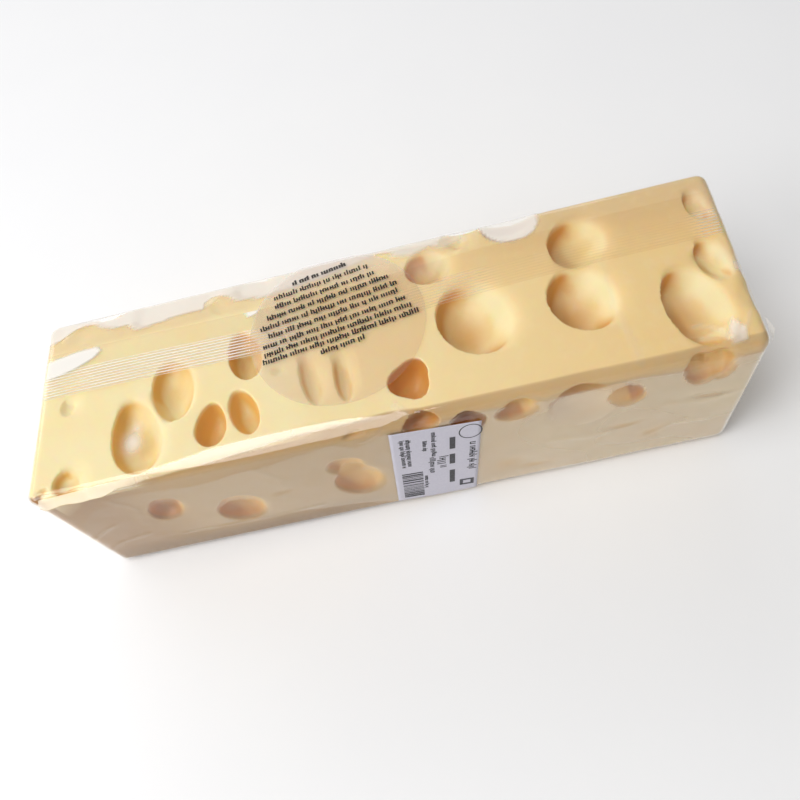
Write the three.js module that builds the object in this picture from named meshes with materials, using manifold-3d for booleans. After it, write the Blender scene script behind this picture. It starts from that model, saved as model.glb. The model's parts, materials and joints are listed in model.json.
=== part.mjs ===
// A bar of holey pressed cheese, flow-packed in clear film: the bar with its eyes, the ribbed
// seam along its top, the crimped seal folded onto each end, a clear round label and a white
// weight label. Millimetres, +Z up, X along the bar, -Y its front face. The origin is the
// middle of the footprint, on the surface that the pack lies on.
import * as THREE from "three";
import { mergeVertices } from "three/addons/utils/BufferGeometryUtils.js";
import Module from "manifold-3d";

const wasm = await Module();
wasm.setup();

// ---- driving dimensions ----
const LENGTH = 276;
const DEPTH = 82;
const HEIGHT = 75.5;
const EDGE = 5; // rounding of the long edges and of the ends
const FRONT_LEFT_CORNER = 8; // the corners seen in plan
const OTHER_CORNER = 5.5;
const RIGHT_END_SLANT = { perDepth: 0.051, perHeight: 0.034 };
const LEFT_END_SLANT = { perDepth: 0.039, perHeight: 0.032 };

const GAP = 0.3; // air between two pieces that lie on each other
const FILM = 0.2; // a doubled film
const PAPER = 0.25;

const SEAM_START = 2.6; // y of the seam's front edge at the left end
const SEAM_DRIFT = 6; // how far the seam wanders back towards the right end
const SEAM_RIBBED = 12; // width of the crimped band
const SEAM_WIDTH = 21; // with the loose flap behind it
const SEAM_RIBS = 9;
const RIB = 0.25; // height of a rib

const END_SEAL_HEIGHT = 12;
const END_SEAL_RIBS = 7;
const END_SEAL_Z = 30; // middle of the seal as it lies on the end

const LARGE_EYE = 9.5; // mean half sizes above which a bubble gets more facets
const SMALL_EYE = 4.2;

const ROUND_LABEL = { x: -12, y: 6.6, radius: 34.9 };
const WEIGHT_LABEL = { x: 13.3, z: 35.6, width: 34.2, height: 64, turn: -7 };

// The middle of each face and its own axes: across, up, and out of the cheese.
const FACES = {
  top: { at: [0, 0, HEIGHT], across: [1, 0, 0], up: [0, 1, 0] },
  front: { at: [0, -DEPTH / 2, 0], across: [1, 0, 0], up: [0, 0, 1] },
  back: { at: [0, DEPTH / 2, 0], across: [-1, 0, 0], up: [0, 0, 1] },
  bottom: { at: [0, 0, 0], across: [1, 0, 0], up: [0, -1, 0] },
  left: { at: [-LENGTH / 2, 0, 0], across: [0, -1, 0], up: [0, 0, 1] },
  right: { at: [LENGTH / 2, 0, 0], across: [0, 1, 0], up: [0, 0, 1] },
};

// Eyes seen on the top and the front. `at` is the middle on the face, `half` the half length
// and half width of the mouth, `turn` the angle of its length, `egg` how much it narrows
// towards that end, `sink` how far the bubble's middle lies under the face (below zero: a
// shallow bowl; above: a cave wider than its mouth), `lean` how the floor is set to one side,
// and `lobe` how much the mouth has three corners.
const TOP_EYES = [
  { at: [-94, -21.5], half: [16.5, 9.8], deep: 9, turn: 100, egg: 0.18, lean: [-0.3, 0] },
  { at: [-78.8, -5], half: [14.6, 8.6], deep: 8, turn: 94, egg: -0.06, lean: [-0.4, -0.1] },
  { at: [-64.2, -24], half: [9.3, 6.4], deep: 15, turn: 81, egg: 0.22, sink: 0.3 },
  { at: [-51.6, -21.8], half: [10.4, 5.9], deep: 12, turn: 108, egg: 0.05, sink: 0.2 },
  { at: [-49.3, 3.4], half: [12, 6.7], deep: 9, turn: 99, egg: 0.1, lean: [-0.4, 0] },
  { at: [-122, -1.6], half: [5, 4.4], deep: 2.2, turn: 80, sink: -0.5 },
  { at: [-120, -35], half: [6.6, 6.2], deep: 5.5, turn: 40, lean: [-0.4, 0] },
  { at: [-131, -37], half: [3.1, 1.9], deep: 3.5, turn: 30 },
  { at: [-24, -12.5], half: [13.6, 4.7], deep: 4, turn: 95, sink: -0.3 },
  { at: [-12.4, -14.5], half: [13, 4.3], deep: 4, turn: 92, sink: -0.3 },
  { at: [-36.5, -6.5], half: [4, 3.4], deep: 2.5, turn: 0, sink: -0.4 },
  { at: [12, -23.6], half: [7.4, 8.4], deep: 14, sink: 0.3, lobe: -0.1 },
  { at: [41, -3.8], half: [16.2, 14.8], deep: 11, turn: 100, sink: -0.35, lean: [-0.45, -0.1] },
  { at: [27.2, 25], half: [9, 8.2], deep: 6, turn: 10, sink: -0.2, lean: [-0.3, -0.2] },
  { at: [62, 38.5], half: [12.2, 11], deep: 6, turn: 0, sink: -0.3 },
  { at: [40, 35.5], half: [7.2, 6], deep: 3, turn: 20, sink: -0.4 },
  { at: [85.6, 20], half: [12.4, 11.8], deep: 8.5, turn: 10, sink: -0.3, lean: [-0.4, -0.1] },
  { at: [80.8, -6], half: [14, 13.4], deep: 10, turn: 95, sink: -0.35, lean: [-0.45, -0.15] },
  { at: [117.8, -19], half: [18.2, 11.3], deep: 10, turn: 97, egg: 0.06, lean: [-0.4, 0] },
  { at: [130.6, -2], half: [10.6, 6.6], deep: 6.5, turn: 105, lean: [-0.3, 0] },
  { at: [135, 24.5], half: [8.6, 5.6], deep: 5, turn: 92, sink: -0.2 },
  { at: [134.5, -20], half: [6, 4.2], deep: 3, turn: 90, sink: -0.4 },
  { at: [-119, 31], half: [9, 5], deep: 3.5, turn: 10, sink: -0.4 },
  { at: [-59, 30], half: [7.5, 5.2], deep: 4, turn: 150, sink: -0.3 },
];
const FRONT_EYES = [
  { at: [-95.5, 45], half: [9.8, 7.2], deep: 9, turn: 62, lean: [-0.3, 0.1] },
  { at: [-69, 30.5], half: [12, 10.3], deep: 9, turn: 80, lean: [-0.3, 0.2] },
  { at: [-20.5, 49.8], half: [7.8, 7.2], deep: 6.5, turn: 30 },
  { at: [-18, 33], half: [13, 10.8], deep: 8, turn: 98, sink: -0.2, lean: [-0.3, 0.1] },
  { at: [-11.5, 72.8], half: [5, 1.5], deep: 3, turn: 6 },
  { at: [12.5, 73.2], half: [7, 5.6], deep: 8, turn: 8, sink: 0.2 },
  { at: [29.5, 66.2], half: [7.6, 7], deep: 9, turn: 90, sink: 0.1 },
  { at: [47.8, 65.5], half: [9.4, 8.6], deep: 8, turn: 90, lean: [-0.2, 0.2] },
  { at: [70.7, 57.3], half: [15.2, 12.6], deep: 8, turn: 112, sink: -0.3, lean: [-0.3, 0.2] },
  { at: [87, 60], half: [8.8, 7], deep: 6.5, turn: 110 },
  { at: [90.3, 57], half: [5, 3.6], deep: 11, turn: 100 },
  { at: [113.8, 66], half: [11.2, 6.4], deep: 6.5, turn: 104 },
  { at: [120.4, 66.5], half: [10.8, 5.2], deep: 7.5, turn: 104 },
];

// The sides that the view hides get eyes of the same sizes and spacing, by a seeded rule.
const HIDDEN_FACES = [
  { face: "back", count: 11, across: [-128, 128], up: [10, 65], seed: 11 },
  { face: "bottom", count: 9, across: [-126, 126], up: [-32, 32], seed: 23, keepClear: 16 },
  { face: "left", count: 3, across: [-30, 30], up: [12, 64], seed: 5 },
  { face: "right", count: 3, across: [-30, 30], up: [12, 64], seed: 8 },
];

// ---- small helpers ----
const vector = (list) => new THREE.Vector3(...list);
const degrees = THREE.MathUtils.degToRad;
const { clamp, lerp, smoothstep } = THREE.MathUtils;

/** A repeatable stream of numbers from 0 to 1. */
function draws(seed) {
  let state = seed;
  return () => {
    state = (state * 16807) % 2147483647;
    return state / 2147483647;
  };
}

/** How far the slanted ends move a point along the bar. */
function slant(x, y, z) {
  const share = clamp(x / LENGTH + 0.5, 0, 1);
  const perDepth = lerp(LEFT_END_SLANT.perDepth, RIGHT_END_SLANT.perDepth, share);
  const perHeight = lerp(LEFT_END_SLANT.perHeight, RIGHT_END_SLANT.perHeight, share);
  return perDepth * y + perHeight * (z - HEIGHT / 2);
}

/** Moves every point of a geometry with the slant of the bar's ends. */
function slanted(geometry) {
  const place = geometry.attributes.position;
  for (let i = 0; i < place.count; i += 1) {
    const [x, y, z] = [place.getX(i), place.getY(i), place.getZ(i)];
    place.setX(i, x + slant(x, y, z));
  }
  return geometry;
}

/** The geometry with only its positions, and each corner once. */
function welded(geometry) {
  geometry.deleteAttribute("normal");
  geometry.deleteAttribute("uv");
  return mergeVertices(geometry, 1e-4);
}

function toSolid(geometry) {
  const { attributes, index } = welded(geometry);
  return new wasm.Manifold(new wasm.Mesh({
    numProp: 3,
    vertProperties: new Float32Array(attributes.position.array),
    triVerts: new Uint32Array(index.array),
  }));
}

function toGeometry(solid) {
  const { vertProperties, triVerts } = solid.getMesh();
  const geometry = new THREE.BufferGeometry();
  geometry.setAttribute("position", new THREE.BufferAttribute(vertProperties, 3));
  geometry.setIndex(new THREE.BufferAttribute(triVerts, 1));
  return geometry;
}

function piece(name, geometry, color, roughness, opacity = 1) {
  const material = new THREE.MeshStandardMaterial({ color, roughness, metalness: 0 });
  material.opacity = opacity;
  material.transparent = opacity < 1;
  const mesh = new THREE.Mesh(geometry, material);
  mesh.name = name;
  return mesh;
}

/**
 * A thin closed sheet of columns by rows. place(u, v, side) gives its points for u and v from
 * 0 to 1, on the under side (0) and on the upper one (1).
 */
function sheet(columns, rows, place) {
  const points = [];
  const faces = [];
  const corner = (i, j, side) => (side * (rows + 1) + j) * (columns + 1) + i;
  for (const side of [0, 1]) {
    for (let j = 0; j <= rows; j += 1) {
      for (let i = 0; i <= columns; i += 1) {
        points.push(...place(i / columns, j / rows, side).toArray());
      }
    }
  }
  const quad = (a, b, c, d) => faces.push(a, b, c, a, c, d);
  for (let j = 0; j < rows; j += 1) {
    for (let i = 0; i < columns; i += 1) {
      quad(corner(i, j, 1), corner(i + 1, j, 1), corner(i + 1, j + 1, 1), corner(i, j + 1, 1));
      quad(corner(i, j, 0), corner(i, j + 1, 0), corner(i + 1, j + 1, 0), corner(i + 1, j, 0));
    }
  }
  for (let i = 0; i < columns; i += 1) {
    quad(corner(i, 0, 0), corner(i + 1, 0, 0), corner(i + 1, 0, 1), corner(i, 0, 1));
    quad(corner(i, rows, 1), corner(i + 1, rows, 1), corner(i + 1, rows, 0), corner(i, rows, 0));
  }
  for (let j = 0; j < rows; j += 1) {
    quad(corner(0, j, 1), corner(0, j + 1, 1), corner(0, j + 1, 0), corner(0, j, 0));
    quad(corner(columns, j, 0), corner(columns, j + 1, 0), corner(columns, j + 1, 1),
      corner(columns, j, 1));
  }
  const geometry = new THREE.BufferGeometry();
  geometry.setAttribute("position", new THREE.Float32BufferAttribute(points, 3));
  geometry.setIndex(faces);
  return geometry;
}

// ---- the cheese ----

/** The bar seen from above, drawn in by the rounding that its top and bottom edges add. */
function planShape() {
  const [x, y] = [LENGTH / 2 - EDGE, DEPTH / 2 - EDGE];
  const near = FRONT_LEFT_CORNER - EDGE;
  const other = OTHER_CORNER - EDGE;
  const shape = new THREE.Shape();
  shape.moveTo(-x + near, -y);
  shape.lineTo(x - other, -y);
  shape.absarc(x - other, -y + other, other, -Math.PI / 2, 0, false);
  shape.lineTo(x, y - other);
  shape.absarc(x - other, y - other, other, 0, Math.PI / 2, false);
  shape.lineTo(-x + other, y);
  shape.absarc(-x + other, y - other, other, Math.PI / 2, Math.PI, false);
  shape.lineTo(-x, -y + near);
  shape.absarc(-x + near, -y + near, near, Math.PI, Math.PI * 1.5, false);
  return shape;
}

function barSolid() {
  const geometry = new THREE.ExtrudeGeometry(planShape(), {
    depth: HEIGHT - 2 * EDGE,
    bevelSize: EDGE,
    bevelThickness: EDGE,
    bevelSegments: 4,
    curveSegments: 4,
  });
  geometry.translate(0, 0, EDGE);
  return toSolid(slanted(geometry));
}

/** The bubble that an eye cuts out of a face, from the sizes of its mouth. */
function eyeSolid(face, eye) {
  const { at, half, deep, turn = 0, egg = 0, sink = 0, lean = [0, 0], lobe = 0 } = eye;
  const [across, up] = [vector(FACES[face].across), vector(FACES[face].up)];
  const out = across.clone().cross(up);
  const reach = deep / (1 + sink); // the bubble's half height
  const swell = 1 / Math.sqrt(1 - sink * sink); // its waist against its mouth
  const size = (half[0] + half[1]) / 2;
  const detail = size > LARGE_EYE ? 3 : size > SMALL_EYE ? 2 : 1;
  const geometry = new THREE.IcosahedronGeometry(1, detail);
  const place = geometry.attributes.position;
  const point = new THREE.Vector3();
  for (let i = 0; i < place.count; i += 1) {
    point.fromBufferAttribute(place, i);
    const round = Math.atan2(point.y, point.x);
    const uneven = 1 + lobe * Math.cos(3 * round) + 0.03 * Math.sin(2 * round + at[0] + at[1]);
    const long = point.x * half[0] * swell * uneven;
    const wide = point.y * half[1] * swell * uneven * (1 - egg * point.x);
    const rise = (point.z - sink) * reach;
    const angle = degrees(turn);
    const right = long * Math.cos(angle) - wide * Math.sin(angle) - lean[0] * rise;
    const high = long * Math.sin(angle) + wide * Math.cos(angle) - lean[1] * rise;
    point.copy(vector(FACES[face].at));
    point.addScaledVector(across, at[0] + right);
    point.addScaledVector(up, at[1] + high);
    point.addScaledVector(out, rise);
    place.setXYZ(i, point.x, point.y, point.z);
  }
  return toSolid(geometry);
}

/** Eyes spread over a hidden face, none nearer to another than their sizes allow. */
function scatteredEyes({ count, across, up, seed, keepClear = 0 }) {
  const next = draws(seed);
  const eyes = [];
  for (let attempt = 0; attempt < 400 && eyes.length < count; attempt += 1) {
    const long = lerp(4.5, 15, next() ** 1.6);
    const wide = long * lerp(0.62, 0.95, next());
    const at = [lerp(...across, next()), lerp(...up, next())];
    const free = eyes.every((other) =>
      Math.hypot(at[0] - other.at[0], at[1] - other.at[1]) > long + other.half[0] + 3);
    if (free && Math.hypot(...at) > keepClear + long) {
      const deep = wide * lerp(0.55, 1, next());
      eyes.push({ at, half: [long, wide], deep, turn: 180 * next(), sink: lerp(-0.4, 0.2, next()) });
    }
  }
  return eyes;
}

function cheeseBlock() {
  let solid = barSolid();
  const faces = [
    ["top", TOP_EYES],
    ["front", FRONT_EYES],
    ...HIDDEN_FACES.map((rule) => [rule.face, scatteredEyes(rule)]),
  ];
  for (const [face, eyes] of faces) {
    for (const eye of eyes) {
      solid = solid.subtract(eyeSolid(face, eye));
    }
  }
  return toGeometry(solid);
}

// ---- the film's own seams ----

/** The seam's front edge, which wanders a little along the bar. */
function seamFront(x) {
  return SEAM_START + SEAM_DRIFT * smoothstep(x, -30, 110) + 0.6 * Math.sin(x / 24);
}

/** Height of a crimp's ribs: every other row of a crimped sheet stands up. */
function rib(row, last) {
  return row < last && Math.round(row) % 2 === 1 ? RIB : 0;
}

/** The lengthwise seam: a crimped band in front and a smooth loose flap behind it. */
function filmSeam() {
  const ribbed = 2 * SEAM_RIBS;
  const rows = ribbed + 1;
  const half = LENGTH / 2 - EDGE - 2;
  return slanted(sheet(9, rows, (u, v, side) => {
    const x = lerp(-half, half, u);
    const row = v * rows;
    const share = Math.min(row / ribbed, 1);
    const flap = Math.max(row - ribbed, 0);
    const y = seamFront(x) + SEAM_RIBBED * share + (SEAM_WIDTH - SEAM_RIBBED) * flap;
    return new THREE.Vector3(x, y, HEIGHT + GAP + side * (FILM + rib(row, ribbed)));
  }));
}

/** The crimped cross seal, folded flat onto one end of the bar. */
function endSeal(side) {
  const rows = 2 * END_SEAL_RIBS;
  const half = DEPTH / 2 - EDGE - 1;
  const geometry = sheet(7, rows, (u, v, level) => {
    const y = side * lerp(-half, half, u);
    const rise = GAP + level * (FILM + rib(v * rows, rows));
    const z = END_SEAL_Z + END_SEAL_HEIGHT * (v - 0.5) + 1.2 * Math.sin(y / 17);
    return new THREE.Vector3(side * (LENGTH / 2 + rise), y, z);
  });
  return slanted(geometry);
}

// ---- the labels ----

/** A point that lies `lift` off the top, at y measured over the rounded back edge. */
function overTop(x, y, lift) {
  const past = Math.max(y - (DEPTH / 2 - EDGE), 0);
  const angle = past / EDGE;
  const flat = y - past;
  const [back, drop] = [(EDGE + lift) * Math.sin(angle), (EDGE + lift) * (1 - Math.cos(angle))];
  return new THREE.Vector3(x, flat + back, HEIGHT + lift - drop);
}

/** A point that lies `lift` off the front, at z measured round the lower edge. */
function overFront(x, z, lift) {
  const past = Math.max(EDGE - z, 0);
  const angle = past / EDGE;
  const out = (EDGE + lift) * Math.cos(angle) - EDGE;
  return new THREE.Vector3(x, -DEPTH / 2 - out, z + past - (EDGE + lift) * Math.sin(angle));
}

/** A square of 0 to 1 drawn out to a disc of radius 1. */
function disc(u, v) {
  const [a, b] = [2 * u - 1, 2 * v - 1];
  return [a * Math.sqrt(1 - (b * b) / 2), b * Math.sqrt(1 - (a * a) / 2)];
}

function roundLabel() {
  const { x, y, radius } = ROUND_LABEL;
  const under = GAP + FILM + RIB + GAP; // it lies over the seam
  return sheet(12, 14, (u, v, side) => {
    const [right, back] = disc(u, v);
    return overTop(x + radius * right, y + radius * back, under + side * FILM);
  });
}

function weightLabel() {
  const { x, z, width, height, turn } = WEIGHT_LABEL;
  const [cos, sin] = [Math.cos(degrees(turn)), Math.sin(degrees(turn))];
  return sheet(3, 18, (u, v, side) => {
    const [right, high] = [width * (u - 0.5), height * (v - 0.5)];
    const along = x + right * cos - high * sin;
    return overFront(along, z + right * sin + high * cos, GAP + side * PAPER);
  });
}

// ---- the pack ----
const pack = new THREE.Group();
pack.add(piece("cheese_block", cheeseBlock(), 0xe3c88a, 0.35));
pack.add(piece("film_seam", filmSeam(), 0xe9dcc0, 0.25, 0.5));
pack.add(piece("end_seal_left", endSeal(-1), 0xe9dcc0, 0.25, 0.5));
pack.add(piece("end_seal_right", endSeal(1), 0xe9dcc0, 0.25, 0.5));
pack.add(piece("round_label", roundLabel(), 0xe8d0b0, 0.3, 0.6));
pack.add(piece("weight_label", weightLabel(), 0xe6e4ee, 0.6));

const bounds = new THREE.Box3().setFromObject(pack);
const middle = bounds.getCenter(new THREE.Vector3());
const model = new THREE.Group();
pack.position.set(-middle.x, -middle.y, -bounds.min.z);
model.add(pack);

export default model;
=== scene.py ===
"""The looks of a bar of holey pressed cheese that is flow-packed in clear film.

Places on the bar are in millimetres from its own middle: x along it, y from the front (below
zero) to the back, z up from the underside. piece() turns them into the frame's metres.
"""
import json
import math

import bmesh
import bpy
import numpy as np
from mathutils import Matrix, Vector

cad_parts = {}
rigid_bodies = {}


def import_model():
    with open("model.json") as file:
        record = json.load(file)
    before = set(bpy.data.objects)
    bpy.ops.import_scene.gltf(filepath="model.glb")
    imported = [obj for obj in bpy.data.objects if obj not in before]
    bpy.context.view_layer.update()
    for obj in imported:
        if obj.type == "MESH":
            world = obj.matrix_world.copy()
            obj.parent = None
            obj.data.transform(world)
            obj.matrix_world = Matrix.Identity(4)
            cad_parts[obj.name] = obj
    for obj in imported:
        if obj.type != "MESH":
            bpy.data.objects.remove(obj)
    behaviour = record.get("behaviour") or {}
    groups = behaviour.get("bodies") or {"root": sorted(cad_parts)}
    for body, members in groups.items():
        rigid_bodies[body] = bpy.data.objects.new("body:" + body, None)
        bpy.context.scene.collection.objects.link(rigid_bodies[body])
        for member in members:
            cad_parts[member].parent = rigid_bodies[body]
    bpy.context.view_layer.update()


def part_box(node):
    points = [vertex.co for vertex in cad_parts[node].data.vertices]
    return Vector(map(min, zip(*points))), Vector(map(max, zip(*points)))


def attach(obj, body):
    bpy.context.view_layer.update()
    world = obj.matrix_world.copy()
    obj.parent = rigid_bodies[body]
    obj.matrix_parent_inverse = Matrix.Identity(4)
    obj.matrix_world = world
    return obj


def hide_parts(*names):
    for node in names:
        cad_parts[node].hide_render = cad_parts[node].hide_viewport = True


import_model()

# ---- the bar ----
MM = 0.001
LOW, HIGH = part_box("cheese_block")
LENGTH = 276.0  # along its middle; the ends slant
DEPTH = (HIGH.y - LOW.y) / MM
HEIGHT = HIGH.z / MM
# The bar's middle in the frame, whose box holds the seals too.
MIDDLE = np.array([-0.1875, -0.01, 0.0])
HALF = np.array([LENGTH, DEPTH, HEIGHT]) / 2
EDGE = 5.2  # the radius of the bar's edges
FRONT_LEFT_CORNER = 8.0  # the radius of the upright edge there
RIGHT_END_SLANT = (0.051, 0.034)  # for each millimetre of depth and of height
LEFT_END_SLANT = (0.039, 0.032)
CHEESE_INSET = 0.45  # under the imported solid's surface
FILM_INSET = 0.14
CREASE = 0.25  # how softly the film and the cheese bend at a crease

# The slope that the front's upper edge is pressed to: (x, y where it starts, degrees).
FRONT_SLOPE = [
    (-140, -39.2, 24), (-125, -39.0, 22), (-107, -38.2, 20), (-93, -37.6, 19), (-86, -36.7, 18.5),
    (-79, -35.9, 18), (-72, -34.9, 17.5), (-65, -33.6, 17), (-51, -33.3, 17), (-18, -33.3, 17),
    (-4, -34.9, 20), (14, -36.9, 27), (140, -37.1, 30),
]
# Where the film leaves the top and falls to the back edge: (x, y).
BACK_FALL = [
    (-141, 30), (-130, 30.2), (-127, 31.9), (-122, 34.4), (-118, 35.3), (-115, 35.2), (-111, 32.6),
    (-105, 31), (-99, 31), (-95, 27.5), (-88, 27.9), (-81, 29.1), (-74, 29.7), (-66, 29.3),
    (-63, 31), (-60, 33.6), (-56, 33.7), (-52, 30.2), (-47, 29.7), (-42, 28.6),
    (-30, 29.6), (-15, 31.5), (0, 34.5), (6, 37), (12, 36), (18, 33.4), (26, 34.6), (34, 33.6),
    (42, 37), (49, 42), (141, 42),
]
BACK_FALL_DEGREES = 8.5

# ---- the eyes ----
# The middle of each face, and its axes across and up.
FACES = {
    "top": ((0, 0, HEIGHT), (1, 0, 0), (0, 1, 0)),
    "front": ((0, -DEPTH / 2, 0), (1, 0, 0), (0, 0, 1)),
    "back": ((0, DEPTH / 2, 0), (-1, 0, 0), (0, 0, 1)),
    "bottom": ((0, 0, 0), (1, 0, 0), (0, -1, 0)),
    "left": ((-LENGTH / 2, 0, 0), (0, -1, 0), (0, 0, 1)),
    "right": ((LENGTH / 2, 0, 0), (0, 1, 0), (0, 0, 1)),
}


def eye(at, half, deep, turn=0.0, egg=0.0, sink=0.0, lean=(0.0, 0.0), lobe=0.0, soft=0.0,
        veil=0.2, sag=None):
    """One eye: the middle and half sizes of its mouth, its depth, the angle of its length, how
    much it narrows towards that end, how far the bubble's middle lies under the face as a share
    of its half height, how its floor is set aside, how three-cornered its mouth is, how much its
    rim melts into the face on the right and how strongly painted shade lies on its left half and
    painted light on its right, how much of the film's haze and painted whitening lies over it,
    and how far the film dips there."""
    return dict(at=at, half=half, deep=deep, turn=math.radians(turn), egg=egg, sink=sink,
                lean=lean, lobe=lobe, soft=soft, veil=veil,
                sag=0.012 * sum(half) if sag is None else sag)


TOP_EYES = [
    eye((-93.8, -21), (17, 9.6), 9, 100, egg=0.2, lean=(-0.35, 0), soft=0.7, sag=0.1),
    eye((-78.7, -4.6), (14.4, 8.4), 8, 94, egg=-0.06, lean=(-0.4, -0.1), soft=0.3),
    eye((-64.3, -23.6), (8.9, 6.0), 11, 81, egg=0.22, sink=0.15),
    eye((-51.3, -21.3), (10, 5.5), 8.5, 108, egg=0.05),
    eye((-49.3, 3.6), (11.8, 6.5), 9, 99, egg=0.1, lean=(-0.4, 0), soft=0.3),
    eye((-122, -1.6), (5, 4.4), 2.2, 80, sink=-0.5, soft=1),
    eye((-120, -34.6), (6.4, 6.2), 5, 40, lean=(-0.4, 0), soft=1),
    eye((-131, -37), (3.1, 1.9), 3, 30),
    eye((-24, -12.9), (13.4, 5), 4, 95, sink=-0.3, lean=(-0.3, 0), soft=1),
    eye((-11.8, -15.2), (13, 4), 4, 92, sink=-0.3, lean=(-0.3, 0), soft=1),
    eye((-36.5, -6.5), (4, 3.4), 1.4, 0, sink=-0.6, soft=1),
    eye((12, -23.6), (7.2, 8.2), 13, sink=0.3, lobe=-0.1),
    eye((41.2, -2.9), (17, 15.4), 10.5, 100, sink=-0.35, lean=(-0.6, -0.3), soft=1),
    eye((27.2, 25), (9.2, 8.4), 9, 10, sink=-0.1, lean=(-0.3, -0.2), soft=1),
    eye((62, 38.5), (12.2, 11), 6, sink=-0.3),
    eye((40, 35.5), (7.2, 6), 3, 20, sink=-0.4, soft=1),
    eye((85.9, 20.6), (12.6, 11.8), 8.7, 10, sink=-0.3, lean=(-0.55, -0.3), soft=0.9),
    eye((81.2, -5.2), (14.8, 13.6), 11, 95, sink=-0.35, lean=(-0.6, -0.3), soft=1),
    eye((118.2, -18.8), (18, 11.2), 10.5, 97, egg=0.06, lean=(-0.55, -0.1), soft=1),
    eye((130.3, -1.4), (10.2, 5.7), 7, 105, lean=(-0.5, 0), soft=1),
    eye((132.4, 24.5), (8.4, 4.8), 5, 92, sink=-0.2, lean=(-0.3, 0), soft=0.6),
    eye((134, -20), (6, 4), 2, 90, sink=-0.5, soft=1),
    eye((-119, 31), (9, 5), 1, 10, sink=-0.6, soft=1),
    eye((-59, 30), (7.5, 5.2), 1.1, 150, sink=-0.6, soft=1),
]
FRONT_EYES = [
    eye((-95.5, 45), (9.6, 7), 9, 62, lean=(-0.3, 0.1), soft=0.8),
    eye((-69, 30.5), (11.8, 10), 9, 80, lean=(-0.35, 0.2), soft=0.8),
    eye((-20.5, 49.8), (7.6, 7), 6.5, 30, veil=0.6),
    eye((-18, 33), (12.8, 10.6), 8, 98, sink=-0.2, lean=(-0.4, 0.1), soft=1, veil=0.45),
    eye((-11.5, 72.4), (5, 1.5), 3, 6),
    eye((12.5, 69.8), (6.8, 5), 8, 8, sink=0.2, veil=0),
    eye((29.5, 64.6), (7.4, 6.8), 9, 90, sink=0.1, veil=0),
    eye((47.4, 64.6), (8.6, 6.1), 7, 4, lean=(-0.3, 0.2), soft=1, veil=0.1),
    eye((71.6, 56.8), (14.5, 12.6), 10, 112, sink=-0.2, lean=(-0.5, 0.3), soft=1, veil=1.3),
    eye((87.3, 58.8), (8.6, 6.8), 6.5, 110, veil=0.25),
    eye((90.8, 57), (4.8, 3.6), 10, 100, veil=0),
    eye((113.8, 64.6), (10, 6.4), 6.5, 104, lean=(-0.3, 0), soft=0.6),
    eye((120.4, 65.2), (9.6, 5), 6.5, 104, soft=0.6),
]
SCATTER_TRIES = 400
# The eyes of the faces out of sight: how many, where, and how deep beside the others.
HIDDEN_FACES = [
    dict(face="back", count=11, across=(-128, 128), up=(10, 65), seed=11),
    dict(face="bottom", count=9, across=(-126, 126), up=(-32, 32), seed=23, keep_clear=16),
    dict(face="left", count=3, across=(-30, 30), up=(12, 64), seed=5, shallow=0.6),
    dict(face="right", count=3, across=(-30, 30), up=(12, 48), seed=8, shallow=0.4),
]


# ---- numbers ----
def lerp(a, b, share):
    return a + (b - a) * share


def smooth(start, end, value):
    """0 up to start, 1 from end, and an even curve between."""
    share = np.clip((value - start) / (end - start), 0, 1)
    return share * share * (3 - 2 * share)


def soft_positive(value, width):
    """The value where it is above zero and 0 below, with a bend of that width."""
    return (value + np.sqrt(value * value + width * width)) / 2


def along(table, x, column=1):
    """A column of a table of rows that start with x, read off at each x."""
    rows = np.array(table, float)
    return np.interp(x, rows[:, 0], rows[:, column])


def draws(seed):
    """A repeatable stream of numbers from 0 to 1."""
    state = seed
    while True:
        state = (state * 16807) % 2147483647
        yield state / 2147483647


def ripple(place, size, seed, waves=9):
    """Gentle unevenness of about -1 to 1 whose humps are about `size` across."""
    chance = np.random.default_rng(seed)
    total = np.zeros(len(place))
    for _ in range(waves):
        way = chance.normal(size=3)
        way /= np.linalg.norm(way) * size * chance.uniform(0.7, 1.5) / math.tau * 2
        total += np.sin(place @ way + chance.uniform(0, math.tau))
    return total / math.sqrt(waves)


def line_distance(x, y, points):
    """How far each place is from a line through the points."""
    nearest = np.full(len(x), np.inf)
    for (x0, y0), (x1, y1) in zip(points, points[1:]):
        dx, dy = x1 - x0, y1 - y0
        share = np.clip(((x - x0) * dx + (y - y0) * dy) / (dx * dx + dy * dy), 0, 1)
        nearest = np.minimum(nearest, np.hypot(x - x0 - share * dx, y - y0 - share * dy))
    return nearest


def ridge(x, y, points, width):
    """1 on a line through the points, falling to 0 beside it."""
    return np.exp(-((line_distance(x, y, points) / width) ** 2))


def spot(x, y, at, size):
    """1 in the middle of a soft round spot, falling to 0 round it."""
    return np.exp(-(((x - at[0]) / size[0]) ** 2) - ((y - at[1]) / size[1]) ** 2)


def patch(x, y, corners, soft):
    """1 inside the corners and 0 outside them, with an edge of that softness."""
    inside = np.zeros(len(x), bool)
    ring = list(corners) + [corners[0]]
    for (x0, y0), (x1, y1) in zip(ring, ring[1:]):
        crosses = (y0 > y) != (y1 > y)
        inside ^= crosses & (x < x0 + (y - y0) * (x1 - x0) / ((y1 - y0) or 1e-9))
    away = line_distance(x, y, ring) * np.where(inside, 1, -1)
    return smooth(-soft, soft, away)


# ---- meshes ----
def piece(name, points, faces, material, smooth_faces=True):
    """A mesh object made of places on the bar in millimetres."""
    mesh = bpy.data.meshes.new(name)
    mesh.from_pydata((np.asarray(points) + MIDDLE) * MM, [], [tuple(face) for face in faces])
    mesh.polygons.foreach_set("use_smooth", [smooth_faces] * len(mesh.polygons))
    mesh.materials.append(material)
    mesh.update()
    made = bpy.data.objects.new(name, mesh)
    bpy.context.collection.objects.link(made)
    return made


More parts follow.
